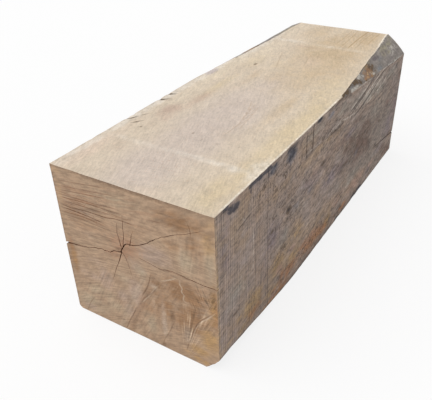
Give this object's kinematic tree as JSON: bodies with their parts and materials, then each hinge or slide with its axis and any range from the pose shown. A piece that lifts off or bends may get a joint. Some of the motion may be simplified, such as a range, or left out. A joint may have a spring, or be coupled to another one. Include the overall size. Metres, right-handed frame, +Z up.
{
  "type": "oak beam",
  "caption": "Squared oak beam with a boxed heart: a length of sawn structural timber with waney arrises and drying checks, for posts, lintels and frames.",
  "frame": {"origin": "middle of the underside, on the floor that the beam lies on", "axes": "+Y along the beam from the near end to the far end, +X across it to the right side, +Z up"},
  "size_m": [0.3, 0.865, 0.3],
  "materials": {
    "sawn_oak": "rough-sawn oak, pale on the fresh top, greyer on the sides, tan end grain, unfinished"
  },
  "bodies": {
    "root": {"beam": "sawn_oak"}
  },
  "joints": []
}
